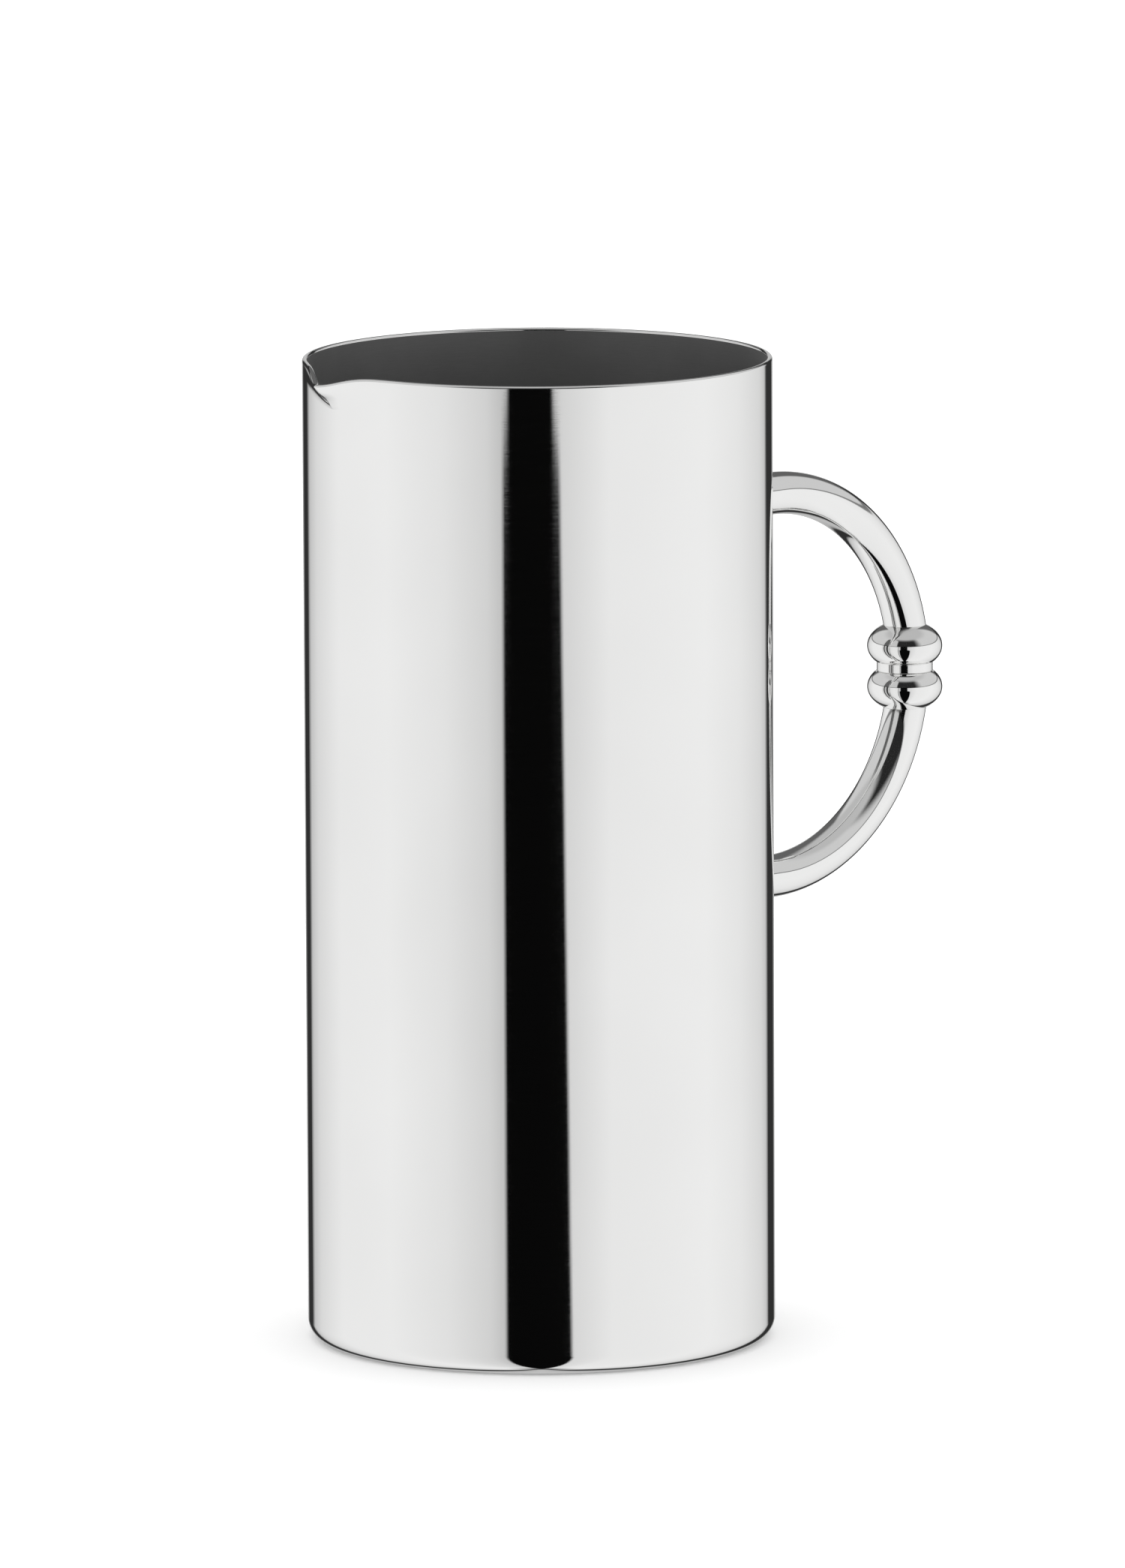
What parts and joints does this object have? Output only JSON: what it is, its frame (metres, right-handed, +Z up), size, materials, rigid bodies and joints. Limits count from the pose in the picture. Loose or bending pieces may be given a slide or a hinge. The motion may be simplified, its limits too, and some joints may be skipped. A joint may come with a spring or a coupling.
{
  "type": "water pitcher",
  "caption": "Straight-sided polished silver water pitcher with a V-shaped pouring spout and a round-tube C handle that carries a pair of beads.",
  "frame": {"origin": "centre of the flat base, on the surface it stands on", "axes": "+Z up along the cylinder, +X towards the handle, the spout stands 13.3 degrees from -X, towards +Y"},
  "size_m": [0.1708, 0.1, 0.211],
  "materials": {
    "polished_silver": "mirror polished silver",
    "sawn_silver": "filed silver, not polished"
  },
  "bodies": {
    "root": {"body_wall": "polished_silver", "base_dish": "polished_silver", "spout": "polished_silver", "upper_handle_arm": "polished_silver", "lower_handle_arm": "polished_silver", "upper_bead": "polished_silver", "lower_bead": "polished_silver", "bead_collar": "polished_silver", "handle_dowel": "sawn_silver", "upper_spigot": "sawn_silver", "lower_spigot": "sawn_silver"}
  },
  "joints": []
}
